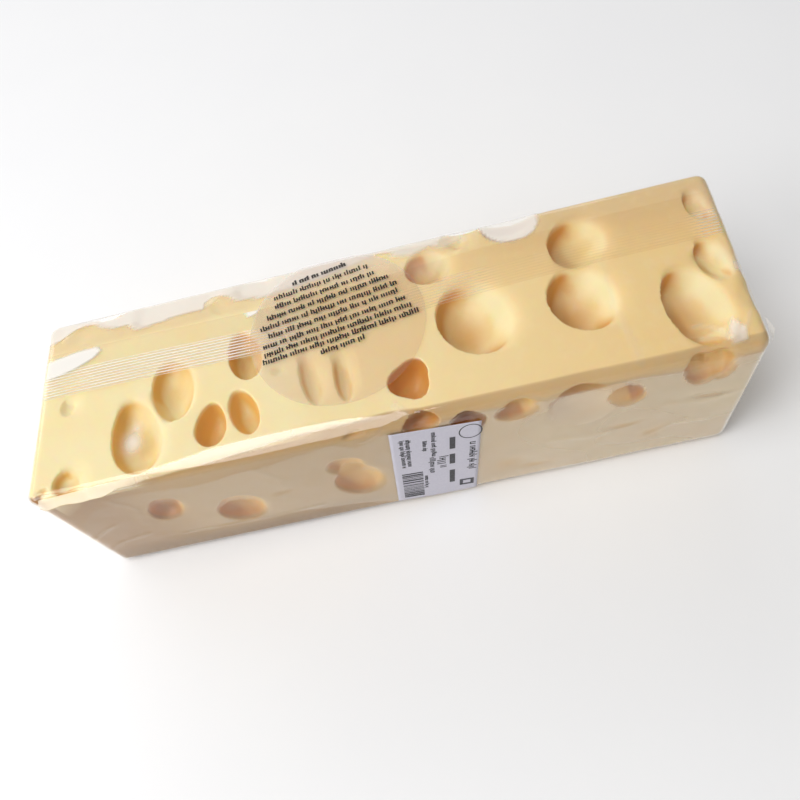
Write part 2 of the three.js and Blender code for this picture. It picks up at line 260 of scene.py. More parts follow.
def mark(made, name, values):
    """Stores a number for each point of a mesh, for its material to read."""
    layer = made.data.attributes.new(name, "FLOAT", "POINT")
    layer.data.foreach_set("value", np.asarray(values, np.float32))


def places(made):
    """The points of a mesh in millimetres from the bar's middle."""
    flat = np.zeros(len(made.data.vertices) * 3, np.float32)
    made.data.vertices.foreach_get("co", flat)
    return flat.reshape(-1, 3).astype(float) / MM - MIDDLE


def directions(made):
    """The direction that the surface faces at each point of a mesh."""
    flat = np.zeros(len(made.data.vertices) * 3, np.float32)
    made.data.vertices.foreach_get("normal", flat)
    return flat.reshape(-1, 3).astype(float)


def baked(made, *modifiers):
    """Applies modifiers, each a kind and its settings, to a mesh object."""
    for kind, settings in modifiers:
        modifier = made.modifiers.new(kind.title(), kind)
        for key, value in settings.items():
            setattr(modifier, key, value)
    shown = made.evaluated_get(bpy.context.evaluated_depsgraph_get())
    mesh = bpy.data.meshes.new_from_object(shown)
    made.modifiers.clear()
    made.data = mesh
    return made


def film(name, columns, rows, place, material):
    """A single skin. place(u, v) gives its points for arrays u and v from 0 to 1, which are also
    handed back for its material's marks."""
    u, v = np.meshgrid(np.linspace(0, 1, columns + 1), np.linspace(0, 1, rows + 1))
    u, v = u.ravel(), v.ravel()
    number = np.arange(len(u)).reshape(rows + 1, columns + 1)
    corners = [number[:-1, :-1], number[:-1, 1:], number[1:, 1:], number[1:, :-1]]
    faces = np.stack(corners, -1).reshape(-1, 4)
    return piece(name, place(u, v), faces, material), u, v


# ---- the bar's surface ----
def slant(place):
    """How far the slanted ends move a place along the bar."""
    share = np.clip(place[:, 0] / LENGTH + 0.5, 0, 1)
    per_depth = lerp(LEFT_END_SLANT[0], RIGHT_END_SLANT[0], share)
    per_height = lerp(LEFT_END_SLANT[1], RIGHT_END_SLANT[1], share)
    return per_depth * place[:, 1] + per_height * (place[:, 2] - HEIGHT / 2)


def slopes(x):
    """The slopes at the front and the back of the top: the y at which each leaves the top, its
    angle, and whether it falls towards the front (-1) or the back (1)."""
    return ((along(FRONT_SLOPE, x), along(FRONT_SLOPE, x, 2), -1),
            (along(BACK_FALL, x), BACK_FALL_DEGREES, 1))


def over_slope(place, start, degrees, toward, top):
    """How far each place stands over a slope, and the slope's outward direction in y and z."""
    angle = np.radians(degrees)
    out_y, out_z = toward * np.sin(angle), np.cos(angle)
    return out_y * (place[:, 1] - start) + out_z * (place[:, 2] - top), out_y, out_z


def shave(place, start, degrees, toward, top):
    """Presses what stands proud of a slope down to it."""
    proud, out_y, out_z = over_slope(place, start, degrees, toward, top)
    cut = soft_positive(proud, CREASE)
    place[:, 1] -= out_y * cut
    place[:, 2] -= out_z * cut


def on_bar(box, inset):
    """Moves points of the plain box round the bar onto its rounded, slanted surface, `inset`
    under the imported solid's. Also gives the outward direction there."""
    half = HALF - inset
    box = box / HALF * half
    radius = EDGE - inset
    core = np.clip(box, radius - half, half - radius)
    out = box - core
    out /= np.linalg.norm(out, axis=1)[:, None]
    place = core + radius * out
    from_edge = place[:, :2] + half[:2] - FRONT_LEFT_CORNER
    far = np.linalg.norm(from_edge, axis=1)
    turned = (from_edge < 0).all(axis=1) & (far > FRONT_LEFT_CORNER)
    place[turned, :2] -= from_edge[turned] * (1 - FRONT_LEFT_CORNER / far[turned])[:, None]
    place[:, 2] += HEIGHT / 2
    for slope in slopes(place[:, 0]):
        shave(place, *slope, HEIGHT - inset)
    place[:, 0] += slant(place)
    return place, out


def cuts(half, step, edge=9.0, fine=0.7):
    """Where a side of the box is cut: finely near its ends, by steps between them."""
    near = np.arange(0, edge, fine)
    middle = np.linspace(-half + edge, half - edge, round(2 * (half - edge) / step) + 1)
    return np.concatenate([-half + near, middle, (half - near)[::-1]])


def box_net(step, **grading):
    """The points and quads of the box's surface, cut along all three axes."""
    ticks = [cuts(half, step, **grading) for half in HALF]
    counts = [len(tick) for tick in ticks]
    outer = np.zeros(counts, bool)
    for axis in range(3):
        np.moveaxis(outer, axis, 0)[[0, -1]] = True
    number = np.full(counts, -1)
    number[outer] = np.arange(outer.sum())
    points = np.stack([tick[at] for tick, at in zip(ticks, np.nonzero(outer))], 1)
    faces = []
    for axis in range(3):
        for end in (0, -1):
            side = np.take(number, end, axis)
            quads = np.stack([side[:-1, :-1], side[1:, :-1], side[1:, 1:], side[:-1, 1:]], -1)
            outward = (end == -1) != (axis == 1)
            quads = quads.reshape(-1, 4)
            faces.append(quads if outward else quads[:, ::-1])
    return points, np.concatenate(faces)


# ---- where the eyes lie ----
def scattered_eyes(rule):
    """Eyes spread over a hidden face, none nearer to another than their sizes allow."""
    chance = draws(rule["seed"])
    eyes = []
    for _ in range(SCATTER_TRIES):
        if len(eyes) == rule["count"]:
            break
        long = lerp(4.5, 15, next(chance) ** 1.6)
        wide = long * lerp(0.62, 0.95, next(chance))
        at = (lerp(*rule["across"], next(chance)), lerp(*rule["up"], next(chance)))
        free = all(math.dist(at, other["at"]) > long + other["half"][0] + 3 for other in eyes)
        if free and math.hypot(*at) > rule.get("keep_clear", 0) + long:
            deep = wide * lerp(0.55, 1, next(chance)) * rule.get("shallow", 1)
            turn = 180 * next(chance)
            sink = lerp(-0.4, 0.2, next(chance))
            eyes.append(eye(at, (long, wide), deep, turn, sink=sink, soft=smooth(0, -0.4, sink)))
    return eyes


def all_eyes():
    """Each face's name with one of its eyes."""
    faces = [("top", TOP_EYES), ("front", FRONT_EYES)]
    faces += [(rule["face"], scattered_eyes(rule)) for rule in HIDDEN_FACES]
    return [(face, one) for face, eyes in faces for one in eyes]


def bubble(one, face, sphere):
    """The points of a unit sphere moved to the bubble that an eye cuts out of a face."""
    middle, across, up = (np.array(part, float) for part in FACES[face])
    out = np.cross(across, up)
    reach = one["deep"] / (1 + one["sink"])
    swell = 1 / math.sqrt(1 - one["sink"] ** 2)
    round_ = np.arctan2(sphere[:, 1], sphere[:, 0])
    uneven = 1 + one["lobe"] * np.cos(3 * round_) + 0.03 * np.sin(2 * round_ + sum(one["at"]))
    long = sphere[:, 0] * one["half"][0] * swell * uneven
    wide = sphere[:, 1] * one["half"][1] * swell * uneven * (1 - one["egg"] * sphere[:, 0])
    rise = (sphere[:, 2] - one["sink"]) * reach
    cos, sin = math.cos(one["turn"]), math.sin(one["turn"])
    right = one["at"][0] + long * cos - wide * sin - one["lean"][0] * rise
    high = one["at"][1] + long * sin + wide * cos - one["lean"][1] * rise
    return middle + np.outer(right, across) + np.outer(high, up) + np.outer(rise, out)


def mouth_share(one, face, place, reach=4):
    """How far each place is from the middle of an eye's mouth: 1 at its rim. Places deeper than
    reach under the face get a large number. Also gives how far to the right of the middle each
    place lies, as 1 straight to the right and -1 to the left."""
    middle, across, up = (np.array(part, float) for part in FACES[face])
    from_middle = place - middle
    right, high = from_middle @ across - one["at"][0], from_middle @ up - one["at"][1]
    cos, sin = math.cos(one["turn"]), math.sin(one["turn"])
    long = (right * cos + high * sin) / one["half"][0]
    wide = (high * cos - right * sin) / one["half"][1]
    wide /= 1 - one["egg"] * np.clip(long, -1, 1)
    near = from_middle @ np.cross(across, up) > -reach
    rightness = (0.92 * right + 0.38 * high) / np.maximum(np.hypot(right, high), 0.1)
    return np.where(near, np.hypot(long, wide), 9), rightness


# ---- shader nodes ----
def light_values(*channels):
    """A colour as a screen shows it, 0 to 255, in the linear values that shaders take."""
    shares = [channel / 255 for channel in channels]
    return tuple(s / 12.92 if s <= 0.04045 else ((s + 0.055) / 1.055) ** 2.4 for s in shares)


class Value:
    """A number that differs over the surface. Sums on it add Math nodes."""

    def __init__(self, paint, socket):
        self.paint, self.socket = paint, socket

    def sum(self, operation, *others):
        settings = {"operation": operation}
        return self.paint.add("ShaderNodeMath", settings, dict(enumerate((self, *others))))

    def __add__(self, other):
        return self.sum("ADD", other)

    def __sub__(self, other):
        return self.sum("SUBTRACT", other)

    def __mul__(self, other):
        return self.sum("MULTIPLY", other)

    def __pow__(self, other):
        return self.sum("POWER", other)

    def __rsub__(self, other):
        return (self * -1.0) + other

    __radd__ = __add__
    __rmul__ = __mul__

    def least(self, other):
        return self.sum("MINIMUM", other)

    def between(self, start, end):
        """0 up to start, 1 from end, and an even curve between."""
        settings = {"interpolation_type": "SMOOTHSTEP"}
        values = {"Value": self, "From Min": start, "From Max": end}
        return self.paint.add("ShaderNodeMapRange", settings, values)


class Paint:
    """One material's nodes."""

    def __init__(self, name):
        self.material = bpy.data.materials.new(name)
        self.material.use_nodes = True
        self.nodes = self.material.node_tree.nodes
        self.links = self.material.node_tree.links
        self.nodes.clear()

    def add(self, kind, settings=None, values=None, output=0):
        """Adds a node: its settings first, then the values or links of its sockets."""
        node = self.nodes.new(kind)
        for key, value in (settings or {}).items():
            setattr(node, key, value)
        for key, value in (values or {}).items():
            if isinstance(value, Value):
                self.links.new(value.socket, node.inputs[key])
            else:
                node.inputs[key].default_value = value
        return Value(self, node.outputs[output]) if node.outputs else None

    def marked(self, name):
        """A number that the mesh holds for each point."""
        return self.add("ShaderNodeAttribute", {"attribute_name": name}, output="Fac")

    def at(self):
        """The place in the frame, in metres."""
        return self.add("ShaderNodeTexCoord", output="Object")

    def axis(self, name):
        """One coordinate of the place, in millimetres."""
        return self.add("ShaderNodeSeparateXYZ", None, {0: self.at()}, output=name) * (1 / MM)

    def noise(self, size, detail=2.0, roughness=0.5):
        """Noise of 0 to 1 whose patches are about `size` millimetres across."""
        values = {"Vector": self.at(), "Scale": 1 / (size * MM), "Detail": detail,
                  "Roughness": roughness}
        return self.add("ShaderNodeTexNoise", None, values)

    def mix(self, share, a, b):
        """Colour a where share is 0 and b where it is 1, each mixed already or as a screen
        shows it, 0 to 255."""
        a, b = (c if isinstance(c, Value) else (*light_values(*c), 1.0) for c in (a, b))
        return self.add("ShaderNodeMix", {"data_type": "RGBA"}, {0: share, 6: a, 7: b}, output=2)

    def bump(self, height, distance, strength=1.0):
        """The surface's direction with a relief of that height in millimetres."""
        values = {"Height": height, "Distance": distance * MM, "Strength": strength}
        return self.add("ShaderNodeBump", None, values)

    def gloss_share(self, straight, normal=None):
        """How much of the light a clear surface mirrors: `straight` when it is faced, and nearly
        all of it at a slant. Both sides of the film mirror alike."""
        values = {"Blend": 0.5}
        if normal:
            values["Normal"] = normal
        facing = self.add("ShaderNodeLayerWeight", None, values, output="Facing")
        return facing ** 5.0 * (1.0 - straight) + straight

    def shade(self, kind, **values):
        """A shader."""
        return self.add(kind, None, {key.replace("_", " "): v for key, v in values.items()})

    def blend(self, share, a, b):
        """Shader a where share is 0 and b where it is 1."""
        return self.add("ShaderNodeMixShader", None, {0: share, 1: a, 2: b})

    def finish(self, shader):
        self.add("ShaderNodeOutputMaterial", None, {"Surface": shader})
        return self.material


# ---- finishes ----
def cheese_material():
    """Waxy pressed cheese: pale yellow at the left, warmer at the right and on the front, and
    ochre in the eyes, the more so the steeper their walls and the deeper they are. Part of
    this is painted light and shade. The top's paleness at the left and its darkening at the
    back right stand partly for light that falls off. The front is darkened as painted shade.
    Steep eye walls are ochre partly as painted shade. The soft eyes get painted shade on
    their left and painted light on their right."""
    paint = Paint("pressed_cheese")
    deep, steep, turned, front = (paint.marked(name)
                                  for name in ("eye_depth", "steep", "turned", "front"))
    x, y, z = (paint.axis(name) for name in "XYZ")
    # Paler at the left and warmer to the right: partly the cheese's own tone, partly painted light
    # that falls off towards the right.
    paste = paint.mix(x.between(-60, 130), (248, 231, 184), (241, 211, 150))
    blotch = paint.noise(34, 2, 0.55)
    paste = paint.mix(blotch.between(0.35, 0.75) * 0.35, paste, (243, 215, 150))
    # Painted shade: the top darker towards the back right.
    paste = paint.mix(y.between(6, 36) * x.between(10, 80) * 0.8, paste, (225, 196, 147))
    tan = y.between(22, 27) * (1.0 - x.between(-55, -25))
    paste = paint.mix(tan * 0.75, paste, (232, 207, 158))
    # The front's colour: the rind's warmer tone, darkened as painted shade, most at the left.
    side = paint.mix(x.between(-120, -80), (166, 126, 74), (190, 156, 104))
    side = paint.mix(x.between(-20, 60), side, (211, 180, 129))
    # Painted shade: darker still near the bottom of the front's left half.
    low = (1.0 - z.between(5, 24)) * (1.0 - x.between(-45, 10))
    side = paint.mix(low, side, (146, 112, 68))
    mottle = paint.noise(5, 4, 0.6)
    paste = paint.mix(mottle.between(0.45, 0.8) * 0.15, paste, (250, 236, 200))
    paste = paint.mix(front, paste, side)
    hollow = paint.mix(paint.noise(11, 3).between(0.3, 0.75), (247, 227, 174), (243, 217, 154))
    # The eye floors on the front take the front's painted shade.
    hollow = paint.mix(front, hollow, (236, 194, 116))
    wall = paint.mix(x.between(-75, 55), (238, 192, 102), (219, 154, 60))
    cave = paint.mix(x.between(-75, 55), (242, 198, 120), (230, 174, 88))
    # The eye walls on the front take the front's painted shade.
    wall = paint.mix(front, wall, (207, 145, 60))
    # Steep eye walls turn ochre: partly the eyes' own waxy colour, partly painted shade in the
    # hollows.
    wall = paint.mix(steep.between(0.03, 0.42), hollow, wall)
    cave = paint.mix(deep.between(6, 13), wall, cave)
    # Painted shade on the left half of the soft eyes right of the middle, as if lit from the left.
    painted_eye_shade = turned.between(-0.15, -0.95) * x.between(10, 112) * 0.55
    cave = paint.mix(painted_eye_shade, cave, (200, 142, 60))
    # Painted light: the right half of the soft eyes is paler, as if lit.
    pale = turned.between(0.1, 0.7) * (1.0 - front) * 0.85
    cave = paint.mix(pale, cave, (250, 233, 186))
    colour = paint.mix(deep.between(0.4, 2.6), paste, cave)
    grain = paint.noise(1.3, 3, 0.6) * 0.6 + paint.noise(6, 2) * 1.4
    shader = paint.add("ShaderNodeBsdfPrincipled", None, {
        "Base Color": colour,
        "Roughness": 0.5 - deep.between(0.5, 3) * 0.14,
        "Normal": paint.bump(grain, 0.05),
        "Subsurface Weight": 1.0,
        "Subsurface Radius": (1.0, 0.62, 0.28),
        "Subsurface Scale": 1.7 * MM,
        "Specular IOR Level": 0.4,
    })
    return paint.finish(shader)


def film_shader(paint, milk_and_glare, straight=0.045, roughness=0.06, tint=(1, 1, 1), relief=None,
                warm=0.0):
    """Clear film: it mirrors more where it hangs loose over air, and is milky where creased, in
    cream where it is warm. The same milky white also stands for painted highlights and
    reflections where the film's mark asks for it."""
    loose = paint.marked("loose")
    normal = paint.bump(relief, 0.1) if relief else None
    mirror = {"Color": (1, 1, 1, 1), "Roughness": roughness}
    if normal:
        mirror["Normal"] = normal
    share = (paint.gloss_share(straight, normal) * (1.0 + loose * 1.6)).least(1.0)
    clear = paint.blend(share, paint.shade("ShaderNodeBsdfTransparent", Color=(*tint, 1)),
                        paint.add("ShaderNodeBsdfGlossy", None, mirror))
    milk_and_glare_white, cream = (paint.shade("ShaderNodeBsdfDiffuse", Color=(*light_values(*colour), 1))
                    for colour in ((250, 246, 239), (240, 223, 188)))
    milk_and_glare_white = paint.blend(warm, milk_and_glare_white, cream)
    return paint.finish(paint.blend(milk_and_glare.least(0.95), clear, milk_and_glare_white))


def skin_material():
    paint = Paint("clear_film")
    relief = paint.noise(14, 2) * 1.5 + paint.noise(3.2, 2) * 0.12
    # The film's whitening turns cream near the front's upper edge, where it is partly the lip's
    # painted highlight.
    warm = paint.axis("Y").between(-35, -40)
    return film_shader(paint, paint.marked("milk_and_glare"), relief=relief, warm=warm)


def seam_material():
    paint = Paint("crimped_film")
    return film_shader(paint, paint.marked("milk_and_glare"), straight=0.02, tint=(0.985, 0.962, 0.935))


def label_film_material():
    paint = Paint("label_film")
    milk_and_glare = paint.noise(9, 2) * 0.03 + paint.marked("milk_and_glare")
    return film_shader(paint, milk_and_glare, straight=0.03, roughness=0.12, tint=(0.957, 0.912, 0.895))


def plain_material(name, noise, span, dark, pale, roughness, relief=0.0):
    """A finish whose colour wavers between two with noise, over a span of its values."""
    paint = Paint(name)
    waver = paint.noise(*noise)
    share = waver.between(*span) if span else waver
    values = {"Base Color": paint.mix(share, dark, pale), "Roughness": roughness}
    if relief:
        values["Normal"] = paint.bump(waver, relief)
    return paint.finish(paint.add("ShaderNodeBsdfPrincipled", None, values))


def ink_material():
    return plain_material("brown_black_ink", (2.5, 2), (0.3, 0.8), (16, 11, 7), (44, 32, 22), 0.5)


def print_material():
    return plain_material("thermal_print", (1.2, 3), (0.35, 0.8), (20, 20, 26), (60, 58, 70), 0.45)


def paper_material():
    """Satin thermal paper with a faint fibre, its grey partly a painted shade of the front."""
    return plain_material("thermal_paper", (0.8, 4, 0.65), (0.3, 0.8), (198, 195, 208),
                          (207, 205, 215), 0.42, relief=0.02)


def floor_material():
    return plain_material("pale_floor", (60, 2), None, (247, 247, 248), (250, 250, 250), 0.8)


# ---- the cheese ----
VOXEL = 0.62  # the grid that melts the eyes into the bar
CHEESE_TRIANGLES = 185000
SOFT_STEPS = 8  # how finely the softness of rims is graded
RIM_PASSES = 220
EYE_REACH = 13.0  # how far under its face an eye still counts as that face's


def in_box(place):
    """Places on the bar put back into the plain box round it, measured from the box's middle."""
    box = place.copy()
    box[:, 0] -= slant(box)
    box[:, 2] -= HEIGHT / 2
    return box


def under_skin(place):
    """How deep each place lies under the bar's rounded surface."""
    box = in_box(place)
    half = HALF - CHEESE_INSET
    edge = EDGE - CHEESE_INSET
    corner = np.abs(box) - (half - edge)
    outside = np.linalg.norm(np.maximum(corner, 0), axis=1)
    rounded = edge - outside - np.minimum(corner.max(axis=1), 0)
    for slope in slopes(place[:, 0]):
        proud, _, _ = over_slope(place, *slope, HEIGHT - CHEESE_INSET)
        rounded = np.minimum(rounded, -proud)
    return rounded


def steepness(place, facing):
    """How far each place's surface turns from the bar's nearest face: 0 along it, 1 upright."""
    box = in_box(place)
    nearest = (np.abs(box) - HALF).argmax(axis=1)
    rows = np.arange(len(box))
    return 1 - facing[rows, nearest] * np.sign(box[rows, nearest])


def frontness(place):
    """1 where the front is nearer than the top, up to the bend of its upper edge or, on the left
    half, to the lip's lower edge."""
    x, y, z = place.T
    from_front, from_top = y + DEPTH / 2, HEIGHT - z
    over_bend = from_front - from_top - along(FRONT_SLOPE, x) - DEPTH / 2
    over_lip = y - LIP_SLANT * from_top - along(LIP, x, 2)
    over = lerp(over_lip, over_bend, np.maximum(smooth(-14, 6, x), smooth(-129, -133, x)))
    return smooth(0.9, -0.3, over) * smooth(14, 9, from_front)


def soften_rims(cheese):
    """Melts the right-hand rims of the soft eyes into the faces round them."""
    place = places(cheese)
    weight = np.zeros(len(place))
    for face, one in all_eyes():
        share, rightness = mouth_share(one, face, place, EYE_REACH)
        ring = smooth(0.3, 0.75, share) * smooth(1.6, 1.2, share) * smooth(-0.35, 0.5, rightness)
        weight = np.maximum(weight, one["soft"] * ring)
    group = cheese.vertex_groups.new(name="soft_rims")
    level = np.round(weight * SOFT_STEPS).astype(int)
    for step in range(1, SOFT_STEPS + 1):
        group.add(np.nonzero(level == step)[0].tolist(), step / SOFT_STEPS, "REPLACE")
    rims = {"factor": 0.5, "iterations": RIM_PASSES, "vertex_group": "soft_rims"}
    baked(cheese, ("SMOOTH", rims))
    cheese.vertex_groups.clear()


def cheese_piece():
    points, faces = box_net(3.0, fine=1.0)
    points, _ = on_bar(points, CHEESE_INSET)
    material = cheese_material()
    cheese = piece("cheese", points, faces, material)
    ball = bmesh.new()
    bmesh.ops.create_icosphere(ball, subdivisions=5, radius=1.0)
    ball_mesh = bpy.data.meshes.new("ball")
    ball.to_mesh(ball_mesh)
    ball.free()
    sphere = np.array([vertex.co for vertex in ball_mesh.vertices])
    ball_faces = [tuple(face.vertices) for face in ball_mesh.polygons]
    bubbles = bpy.data.collections.new("bubbles")
    for number, (face, one) in enumerate(all_eyes()):
        points = bubble(one, face, sphere)
        points += 0.1 * ripple(points, 6, number)[:, None] * sphere
        made = piece(f"bubble_{number}", points, ball_faces, material)
        bpy.context.collection.objects.unlink(made)
        bubbles.objects.link(made)
    join = {"operation": "DIFFERENCE", "operand_type": "COLLECTION", "collection": bubbles,
            "solver": "MANIFOLD"}
    baked(cheese, ("BOOLEAN", join))
    for made in list(bubbles.objects):
        bpy.data.objects.remove(made)
    bpy.data.collections.remove(bubbles)
    baked(
        cheese,
        ("REMESH", {"mode": "VOXEL", "voxel_size": VOXEL * MM}),
        ("SMOOTH", {"factor": 0.5, "iterations": 2}),
    )
    soften_rims(cheese)
    baked(cheese, ("TRIANGULATE", {}))
    share = CHEESE_TRIANGLES / len(cheese.data.polygons)
    if share < 1:
        baked(cheese, ("DECIMATE", {"ratio": share}))
    cheese.data.polygons.foreach_set("use_smooth", [True] * len(cheese.data.polygons))
    if not cheese.data.materials:
        cheese.data.materials.append(material)
    place = places(cheese)
    steep, turned = steepness(place, directions(cheese)), np.zeros(len(place))
    # Marks for the eyes' painted shade: steep walls count less where the rims of soft eyes melt on
    # the right, and turned runs from below zero on the left of a soft eye to above zero on its
    # right, where the material paints shade and light.
    for face, one in all_eyes():
        share, rightness = mouth_share(one, face, place, EYE_REACH)
        melted = one["soft"] * smooth(1.6, 1.3, share) * smooth(-0.2, 0.6, rightness)
        steep *= 1 - 0.9 * melted
        inside = smooth(1.35, 1.05, share) * smooth(0.15, 0.7, share)
        turned += one["soft"] * inside * rightness
    mark(cheese, "eye_depth", under_skin(place))
    mark(cheese, "steep", steep)
    mark(cheese, "turned", turned)
    mark(cheese, "front", frontness(place))
    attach(cheese, "root")
    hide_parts("cheese_block")
    return cheese


# ---- the film ----
FOLD_DEGREES = 19
FOLD_TURN = 0.72  # the share of the fold's width at which it turns back to the front
NO_GLOSS = -0.62  # how loose the film is marked where it shows no gloss at all
TIGHT = -0.6  # over the hollows
# How whitened and how loose the pale lip is; the whitening is partly a painted highlight.
LIP_MILK_AND_GLARE, LIP_LOOSE = 0.36, 0.65
# The lip's upper and lower edge, as y less LIP_SLANT for each millimetre under the top: (x, y, y).
LIP_SLANT = 0.562
LIP = [
    (-141, -39.8, -44.8), (-125, -39.7, -44.5), (-107, -38.8, -44.1), (-100, -38.7, -42.4),
    (-93, -38.3, -41.3), (-86, -37.2, -41), (-79, -36.4, -40.4), (-72, -35.5, -40.3),
    (-65, -34.1, -39.8), (-51, -33.8, -38.6), (-38, -33.6, -37.2), (-18, -33.8, -36.3),
    (-4, -35.4, -37), (10, -36.5, -37.8),
]
# Milky patches, partly painted highlights and reflections: corners, how soft their edges are, and
# how milky.
TOP_PATCHES = [
    ([(49.3, 41), (50.4, 35.5), (53, 31), (56.5, 28.2), (61.5, 27.3), (66.5, 27.8), (70.5, 30),
      (73, 34), (73.6, 41)], 0.7, 0.75),
    ([(-3, 35.5), (6, 35), (7, 41), (-3, 41)], 1.6, 0.5),
    ([(14, 33.5), (21, 32), (28, 34), (29, 41), (13, 41)], 1.8, 0.6),
    ([(29, 34), (34, 32), (43, 34), (43, 41), (30, 41)], 2.5, 0.4),
    ([(123.5, -38), (123.5, -33), (126, -28), (129.5, -32.5), (128.5, -37.5)], 0.9, 0.6),
    ([(134, -9), (135, -4), (138, -5), (138, -9)], 0.8, 0.4),
]
# Milky spots, partly painted glare such as over the eye at the left: place, size each way, and how
# milky.
TOP_SPOTS = [
    ((-94.8, -24.4), (3.4, 4.4), 0.62),
    ((-93.2, -18.8), (2.2, 2.6), 0.3),
    ((25, 25), (8, 7), 0.2),
    ((134, 24), (5, 8), 0.2),
    ((134, -2), (4, 8), 0.14),
]
# Spots where the film clings to the front, with neither haze nor painted reflection: place and
# size each way.
FRONT_TIGHT = [
    ((38, 20), (5, 5)), ((51, 14), (7, 2.2)), ((101, 22), (3.6, 4)), ((90, 35), (6, 2)),
    ((-30, 7), (9, 3)), ((120, 45), (9, 1.6)), ((-48, 40), (3, 2)),
]
# The outline, in x and z, of the film that hangs loose on the front.
FRONT_LOOSE = [
    (-137, 30), (-130, 50), (-118, 60), (-108, 66), (-98, 64.5), (-90, 63.5), (-70, 63.5),
    (-50, 65), (-38, 67.5), (-30, 68), (-20, 70), (-12, 66), (-4, 71), (20, 70), (60, 70),
    (100, 70), (132, 71), (139, 66), (139, 3), (40, 4), (-10, 6), (-35, 16), (-50, 19),
    (-62, 17.5), (-75, 19), (-88, 18), (-100, 20), (-115, 16), (-137, 22),
]
# Creases that stand up: points, width and height.
TOP_CREASES = [
    ([(91, 8), (90, -14), (92, -38)], 1.6, 0.14),
    ([(124, -36), (119, -30), (113, -28)], 0.9, 0.35),
    ([(124, -36), (127.5, -30)], 0.8, 0.5),
    ([(124, -36), (129, -34), (133, -27)], 0.9, 0.3),
    ([(124, -36), (114, -34)], 0.8, 0.3),
    ([(5, -33), (9, -38)], 1.2, 0.3),
    ([(130, 16.5), (137, 17.2)], 0.35, 0.2),
    ([(130, 18), (137, 18.8)], 0.35, 0.2),
]
FRONT_CREASES = [
    ([(-137, 30), (-128, 37), (-120, 42)], 0.8, 0.3),
    ([(-134, 18), (-126, 24), (-112, 27)], 1.0, 0.2),
    ([(-100, 20), (-60, 18), (-38, 19)], 0.9, 0.2),
    ([(124, 70), (121, 62), (114, 57)], 0.8, 0.3),
    ([(-10, 68), (0, 74)], 0.9, 0.3),
    ([(-110, 66), (-104, 52), (-108, 38)], 1.2, 0.12),
    ([(-52, 64), (-45, 50), (-50, 36)], 1.4, 0.12),
    ([(98, 20), (108, 26), (122, 24)], 1.4, 0.14),
    ([(60, 34), (75, 30), (92, 33)], 1.6, 0.12),
    ([(104, 44), (118, 40), (133, 44)], 1.6, 0.14),
]


def film_piece():
    points, faces = box_net(1.2)
    place, out = on_bar(points, FILM_INSET)
    x, y, z = place.T
    top = smooth(0.5, 0.95, out[:, 2])
    front = smooth(0.5, 0.95, -out[:, 1])
    hidden = np.maximum.reduce([smooth(0.5, 0.95, out[:, 1]), smooth(0.5, 0.95, -out[:, 2]),
                                smooth(0.5, 0.95, np.abs(out[:, 0]))])

    # Where it hangs loose over air.
    fallen = smooth(0, 0.8, y - along(BACK_FALL, x)) * smooth(0.2, 0.6, out[:, 2])
    uneven = 1.3 * ripple(place, 13, 17)
    loose_front = patch(x, z + uneven, FRONT_LOOSE, 0.9) * front
    patchy = smooth(-0.3, 0.5, ripple(place, 34, 3)) * hidden
    for at, size in FRONT_TIGHT:
        loose_front *= 1 - 0.92 * spot(x + 2 * uneven, z + uneven, at, size)
    gloss = lerp(0.1, 0.5, smooth(-115, -65, x)) + 0.4 * smooth(0, 60, x)
    loose = np.maximum.reduce([fallen, loose_front * gloss, patchy])
    # Painted glare: where the film falls to the back it is whitened, up to about x = 40.
    milk_and_glare = 0.015 + 0.6 * fallen * smooth(50, 30, x)
    # The loose film on the front is whitened: partly its own haze, partly a painted reflection of
    # the bright floor, more so to the right.
    haze_and_reflection = lerp(0.04, 0.14, smooth(-115, -65, x)) + 0.2 * smooth(10, 90, x)
    milk_and_glare = milk_and_glare + haze_and_reflection * (1 + 0.3 * ripple(place, 26, 12)) * loose_front

    rise = 0.05 * ripple(place, 24, 7) + 0.03 * ripple(place, 7, 8) + 0.1 * loose
    for face, one in all_eyes():
        share, _ = mouth_share(one, face, place)
        rise -= one["sag"] * np.maximum(1 - share * share, 0) ** 1.5
        bare = smooth(1.02, 0.9, share) * (1 - one["veil"])
        loose, milk_and_glare = lerp(loose, TIGHT, bare), milk_and_glare * (1 - bare)
    for on_face, across, up, creases in ((top, x, y, TOP_CREASES), (front, x, z, FRONT_CREASES)):
        for line, width, height in creases:
            crest = on_face * ridge(across, up, line, width)
            rise += height * crest
            milk_and_glare = milk_and_glare + 0.5 * height * crest
    for corners, soft, share in TOP_PATCHES:
        milk_and_glare = np.maximum(milk_and_glare, share * top * patch(x, y, corners, soft))
    for at, size, share in TOP_SPOTS:
        milk_and_glare = np.maximum(milk_and_glare, share * top * spot(x, y, at, size))
    # The pale lip, whitened partly as a painted highlight.
    band = front_band(x, y, z)
    milk_and_glare, loose = np.maximum(milk_and_glare, LIP_MILK_AND_GLARE * band), np.maximum(loose, LIP_LOOSE * band)
    rise = np.where(out[:, 2] < -0.3, np.minimum(rise, FILM_INSET - 0.02), rise)
    place = place + out * rise[:, None]

    skin = piece("film_skin", place, faces, skin_material())
    mark(skin, "loose", loose)
    mark(skin, "milk_and_glare", np.clip(milk_and_glare, 0, 0.9))
    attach(skin, "root")
    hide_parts("cheese_block")
    return skin


